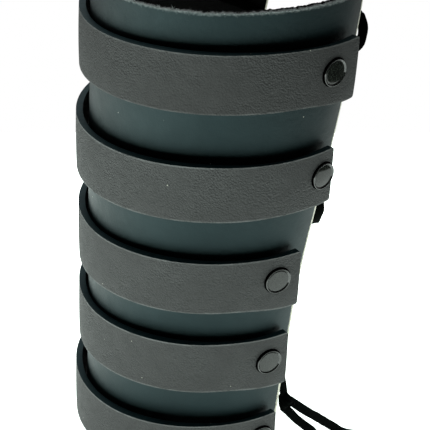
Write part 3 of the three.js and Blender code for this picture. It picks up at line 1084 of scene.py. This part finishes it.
class GAUNTLET_OT_lacing(bpy.types.Operator):
    """Lace the seam and tie the knot"""

    bl_idname = "gauntlet.lacing"
    bl_label = "Lacing"

    crossing_points = 5
    knot_clear = 0.0003
    knot_squeeze = 0.9
    strand_steps = 8
    # The turn round the strands: its reach as a share of the knot's size, and its tilt
    ring_steps = 48
    ring_share = 0.38
    ring_tilt = 0.0012

    def execute(self, context):
        sleeve = Sleeve(context.scene)
        lace = sleeve.lace
        finish = lace_leather(context.scene.gauntlet_colours)
        route = smooth_route(self.lacing_points(sleeve), LACE_STEPS)
        slack = [spot for turn in LACE_TURNS for spot in self.slack_points(sleeve, turn)]
        facings = [self.lace_facing(sleeve, slack, spot) for spot in route]
        bm = lace_mesh(route, facings, lace.width, lace.thickness)
        piece("seam_lacing", bm, [finish], "lace_leather", "lacing")
        bm = self.knot_mesh(lace)
        piece("tied_knot", bm, [finish], "lace_leather", "lace_knot")
        return {"FINISHED"}

    @staticmethod
    def knot_box():
        low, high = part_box("lace_knot")
        return (low + high) / 2, high - low

    @staticmethod
    def slack_points(sleeve, turn):
        return [sleeve.seam_spot(turn.side, beyond, height, offset)
                for beyond, offset, height in turn.slack]

    @staticmethod
    def lace_facing(sleeve, slack, spot):
        """Flat on the sleeve, turned to the front where the lace hangs slack."""
        nearest = min((spot - place).length for place in slack)
        return sleeve.facing_at(spot).lerp(LOOP_FACING, math.exp(-((nearest / LOOP_REACH) ** 2)))

    def hook_points(self, sleeve, turn):
        """The lace behind a strap end, downwards: in past the seam edge, round the post, and out."""
        lace = sleeve.lace
        offset = -(sleeve.cut.sheet + lace.gap + lace.thickness / 2)
        _, _, rivet, height = sleeve.strap_place(turn.strap)
        radius = sleeve.radius(height, offset)
        bend = []
        for degrees in (90, 45, 0, -45, -90):
            angle = math.radians(degrees)
            reach = rivet - lace.hook_radius * math.cos(angle) / radius
            rise = lace.hook_radius * math.sin(angle)
            bend.append(sleeve.spot(turn.side * reach, height + rise, offset))
        inset = (sleeve.half_wrap(height) - rivet) * radius
        way = (-inset / 2, -lace.edge_step, lace.edge_step)

        def run(start, finish):
            heights = [height + lerp(start, finish, (i + 1) / len(way)) for i in range(len(way))]
            return [sleeve.seam_spot(turn.side, *spot, offset) for spot in zip(way, heights)]

        upper = run(lace.hook_radius, turn.lift)
        return [*reversed(upper), *bend, *run(-lace.hook_radius, -turn.drop)]

    def crossing(self, sleeve, start, finish, turn):
        """A run over the open seam, bowed outwards and sagging."""
        angle = sleeve.cut.spine + math.pi
        out = Vector((math.cos(angle), math.sin(angle), 0))
        points = []
        for i in range(1, self.crossing_points + 1):
            share = i / (self.crossing_points + 1)
            swell = math.sin(math.pi * share)
            points.append(start.lerp(finish, share) + (out * turn.bow - UP * turn.sag) * swell)
        return points

    def lacing_points(self, sleeve):
        knot, size = self.knot_box()
        start = knot + Vector((-0.0009, -0.0004, size.z / 2 + self.knot_clear))
        finish = knot + Vector((-0.001, size.y / 2 + self.knot_clear, 0.001))
        hooks = []
        for turn in LACE_TURNS:
            hook = self.hook_points(sleeve, turn)
            way = reversed(hook) if turn.rise > 0 else hook
            hooks.append([*self.slack_points(sleeve, turn), *way])
        points = [start, knot + Vector((-0.002, -0.0006, size.z / 2 + 0.008))]
        for i, hook in enumerate(hooks):
            after = hooks[i + 1][0] if i + 1 < len(hooks) else finish
            points += [*hook, *self.crossing(sleeve, hook[-1], after, LACE_TURNS[i])]
        return [*points, finish]

    def knot_mesh(self, lace):
        """The two strands of the tie and the turn that holds them."""
        knot, size = self.knot_box()
        width = lace.width * self.knot_squeeze
        parts = []
        for strand, free_end in ((UPPER_STRAND, UPPER_END), (LOWER_STRAND, LOWER_END)):
            points = [knot + Vector(spot) for spot in strand]
            route = smooth_route([*points, Vector(free_end[0])], self.strand_steps)
            facings = [(spot - knot).normalized().lerp(END_FACING, i / len(route))
                       for i, spot in enumerate(route)]
            parts.append(lace_mesh(route, facings, width, lace.thickness))
        ring = []
        for i in range(self.ring_steps + 1):
            angle = 2 * math.pi * i / self.ring_steps
            ring.append(knot + Vector((
                math.cos(angle) * size.x * self.ring_share,
                math.sin(angle) * size.y * self.ring_share,
                math.cos(angle) * -self.ring_tilt,
            )))
        outward = [(spot - knot).normalized() for spot in ring]
        parts.append(lace_mesh(ring, outward, width, lace.thickness))
        return joined(parts)


class GAUNTLET_PT_panel(bpy.types.Panel):
    """Lists the gauntlet's pieces and sizes"""

    bl_idname = "GAUNTLET_PT_panel"
    bl_label = "Gauntlet"
    bl_space_type = "VIEW_3D"
    bl_region_type = "UI"
    bl_category = "Gauntlet"

    def draw(self, context):
        for operator in OPERATORS:
            self.layout.operator(operator.bl_idname)
        for setting, group in SETTINGS.items():
            box = self.layout.box()
            for name in group.__annotations__:
                box.prop(getattr(context.scene, setting), name)


OPERATORS = (
    GAUNTLET_OT_stage,
    GAUNTLET_OT_lace_ends,
    GAUNTLET_OT_shell,
    GAUNTLET_OT_straps,
    GAUNTLET_OT_rivets,
    GAUNTLET_OT_lacing,
)


def register():
    for setting, group in SETTINGS.items():
        bpy.utils.register_class(group)
        setattr(bpy.types.Scene, setting, PointerProperty(type=group))
    for made in (*OPERATORS, GAUNTLET_PT_panel):
        bpy.utils.register_class(made)


def unregister():
    for made in (GAUNTLET_PT_panel, *reversed(OPERATORS)):
        bpy.utils.unregister_class(made)
    for setting, group in reversed(SETTINGS.items()):
        delattr(bpy.types.Scene, setting)
        bpy.utils.unregister_class(group)


def main():
    register()
    bpy.ops.gauntlet.stage()
    bpy.ops.gauntlet.lace_ends()
    bpy.ops.gauntlet.shell()
    bpy.ops.gauntlet.straps()
    bpy.ops.gauntlet.rivets()
    bpy.ops.gauntlet.lacing()


if __name__ == "__main__":
    main()
